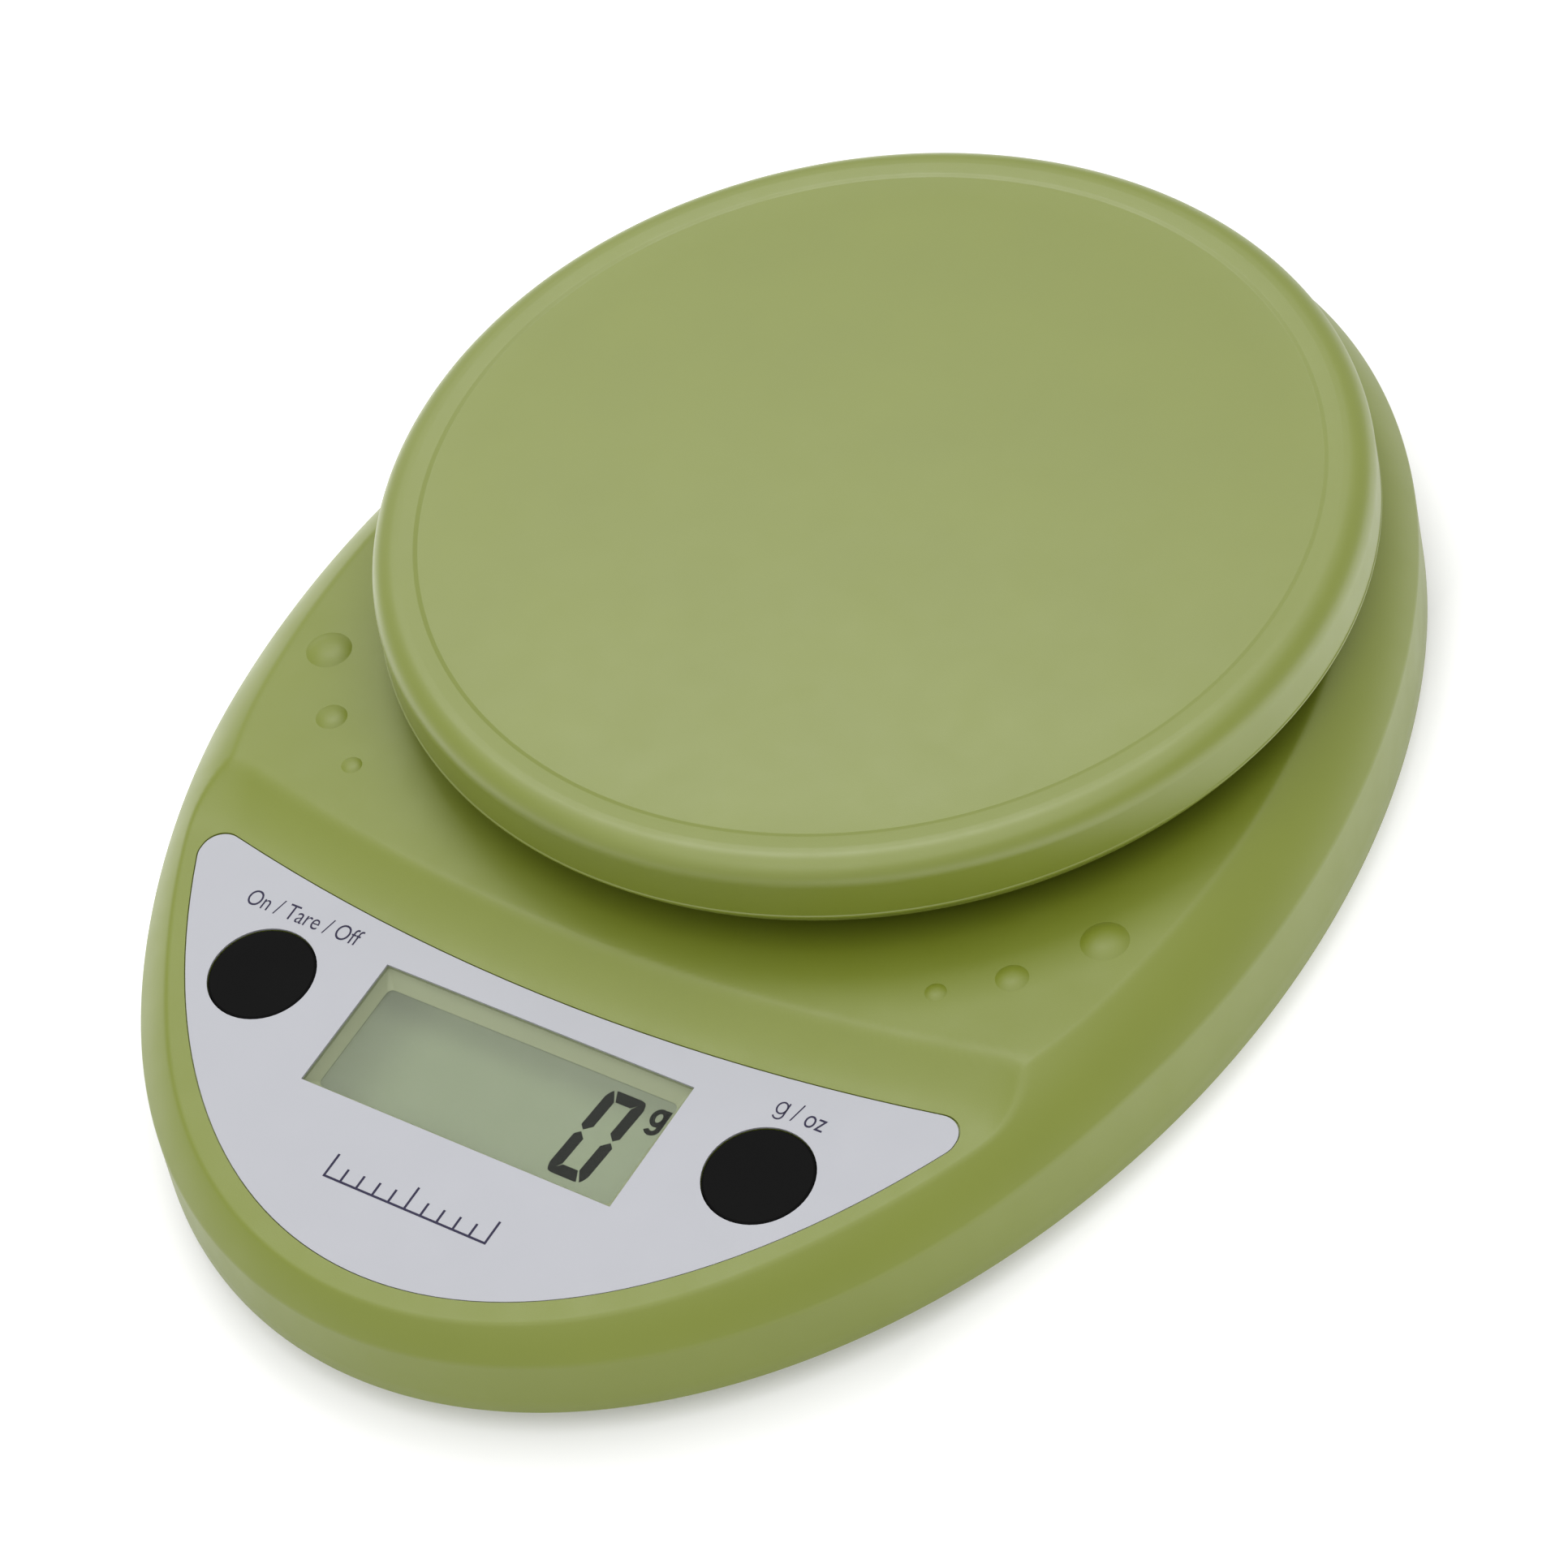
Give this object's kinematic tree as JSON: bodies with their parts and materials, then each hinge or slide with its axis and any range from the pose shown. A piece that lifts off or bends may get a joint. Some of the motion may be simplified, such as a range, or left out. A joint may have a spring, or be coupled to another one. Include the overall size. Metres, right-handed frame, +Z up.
{
  "type": "bench scale",
  "caption": "Small oval battery bench scale with a round platter on a bending-beam load cell, a sloped LCD panel and two push buttons.",
  "frame": {"origin": "under the middle of the oval body, on the surface that the feet stand on", "axes": "+Z up, -Y towards the user and the sloped panel, +X to the user's right"},
  "size_m": [0.1536, 0.214, 0.0381],
  "materials": {
    "body_plastic": "fine matte texture, olive green",
    "label_sheet": "satin printed film, pale grey",
    "button_black": "matte black",
    "clear_pane": "clear, polished",
    "display_glass": "grey-green reflective display",
    "white_plastic": "plain white moulding",
    "zebra_rubber": "striped silicone",
    "board_green": "green solder mask",
    "chip_black": "black epoxy",
    "tin_can": "drawn tin-plated steel",
    "capacitor_sleeve": "dark shrink sleeve",
    "foot_rubber": "dull dark grey",
    "screw_steel": "zinc-plated steel",
    "beam_aluminium": "machined aluminium",
    "gauge_sealant": "white silicone",
    "plate_steel": "pressed steel plate",
    "cell_wrap": "printed battery wrap, dark grey",
    "spring_steel": "nickel-plated spring steel",
    "wire_red": "red wire insulation",
    "wire_black": "black wire insulation",
    "wire_grey": "grey cable sleeve"
  },
  "bodies": {
    "case": {"top_case": "body_plastic", "bottom_case": "body_plastic", "label_overlay": "label_sheet", "lcd_window": "clear_pane", "lcd_glass": "display_glass", "lcd_holder": "white_plastic", "zebra_strip": "zebra_rubber", "main_board": "board_green", "board_screws": "screw_steel", "controller_chip": "chip_black", "crystal": "tin_can", "filter_capacitor": "capacitor_sleeve", "cable_socket": "white_plastic", "power_switch": "chip_black", "units_switch": "chip_black", "foot_front_left": "foot_rubber", "foot_front_right": "foot_rubber", "foot_rear_left": "foot_rubber", "foot_rear_right": "foot_rubber", "case_screws": "screw_steel", "load_cell": "beam_aluminium", "strain_gauges": "gauge_sealant", "load_cell_spacer": "plate_steel", "load_cell_base_screws": "screw_steel", "overload_stop": "screw_steel", "load_cell_cable": "wire_grey", "battery_front": "cell_wrap", "battery_rear": "cell_wrap", "battery_springs": "spring_steel", "bridge_contact": "spring_steel", "positive_terminal": "spring_steel", "negative_terminal": "spring_steel", "positive_lead": "wire_red", "negative_lead": "wire_black"},
    "platter": {"platter_cap": "body_plastic", "platter_base": "body_plastic", "load_arm_plate": "plate_steel", "load_cell_top_screws": "screw_steel"},
    "power_button": {"power_button": "button_black", "power_plunger": "white_plastic"},
    "units_button": {"units_button": "button_black", "units_plunger": "white_plastic"},
    "battery_door": {"battery_door": "body_plastic"}
  },
  "joints": [
    {"name": "platter_deflection", "type": "slide", "parent": "case", "child": "platter", "axis": [0, 0, 1], "range_m": [-0.0006, 0], "stiffness_N_per_m": 80000, "deforming": ["load_cell"]},
    {"name": "power_button_press", "type": "slide", "parent": "case", "child": "power_button", "axis": [0, 0.0509, -0.9987], "range_m": [0, 0.0005], "stiffness_N_per_m": 4000},
    {"name": "units_button_press", "type": "slide", "parent": "case", "child": "units_button", "axis": [0, 0.0509, -0.9987], "range_m": [0, 0.0005], "stiffness_N_per_m": 4000},
    {"name": "battery_door_slide", "type": "slide", "parent": "case", "child": "battery_door", "axis": [0, -1, 0], "range_m": [0, 0.006]}
  ]
}
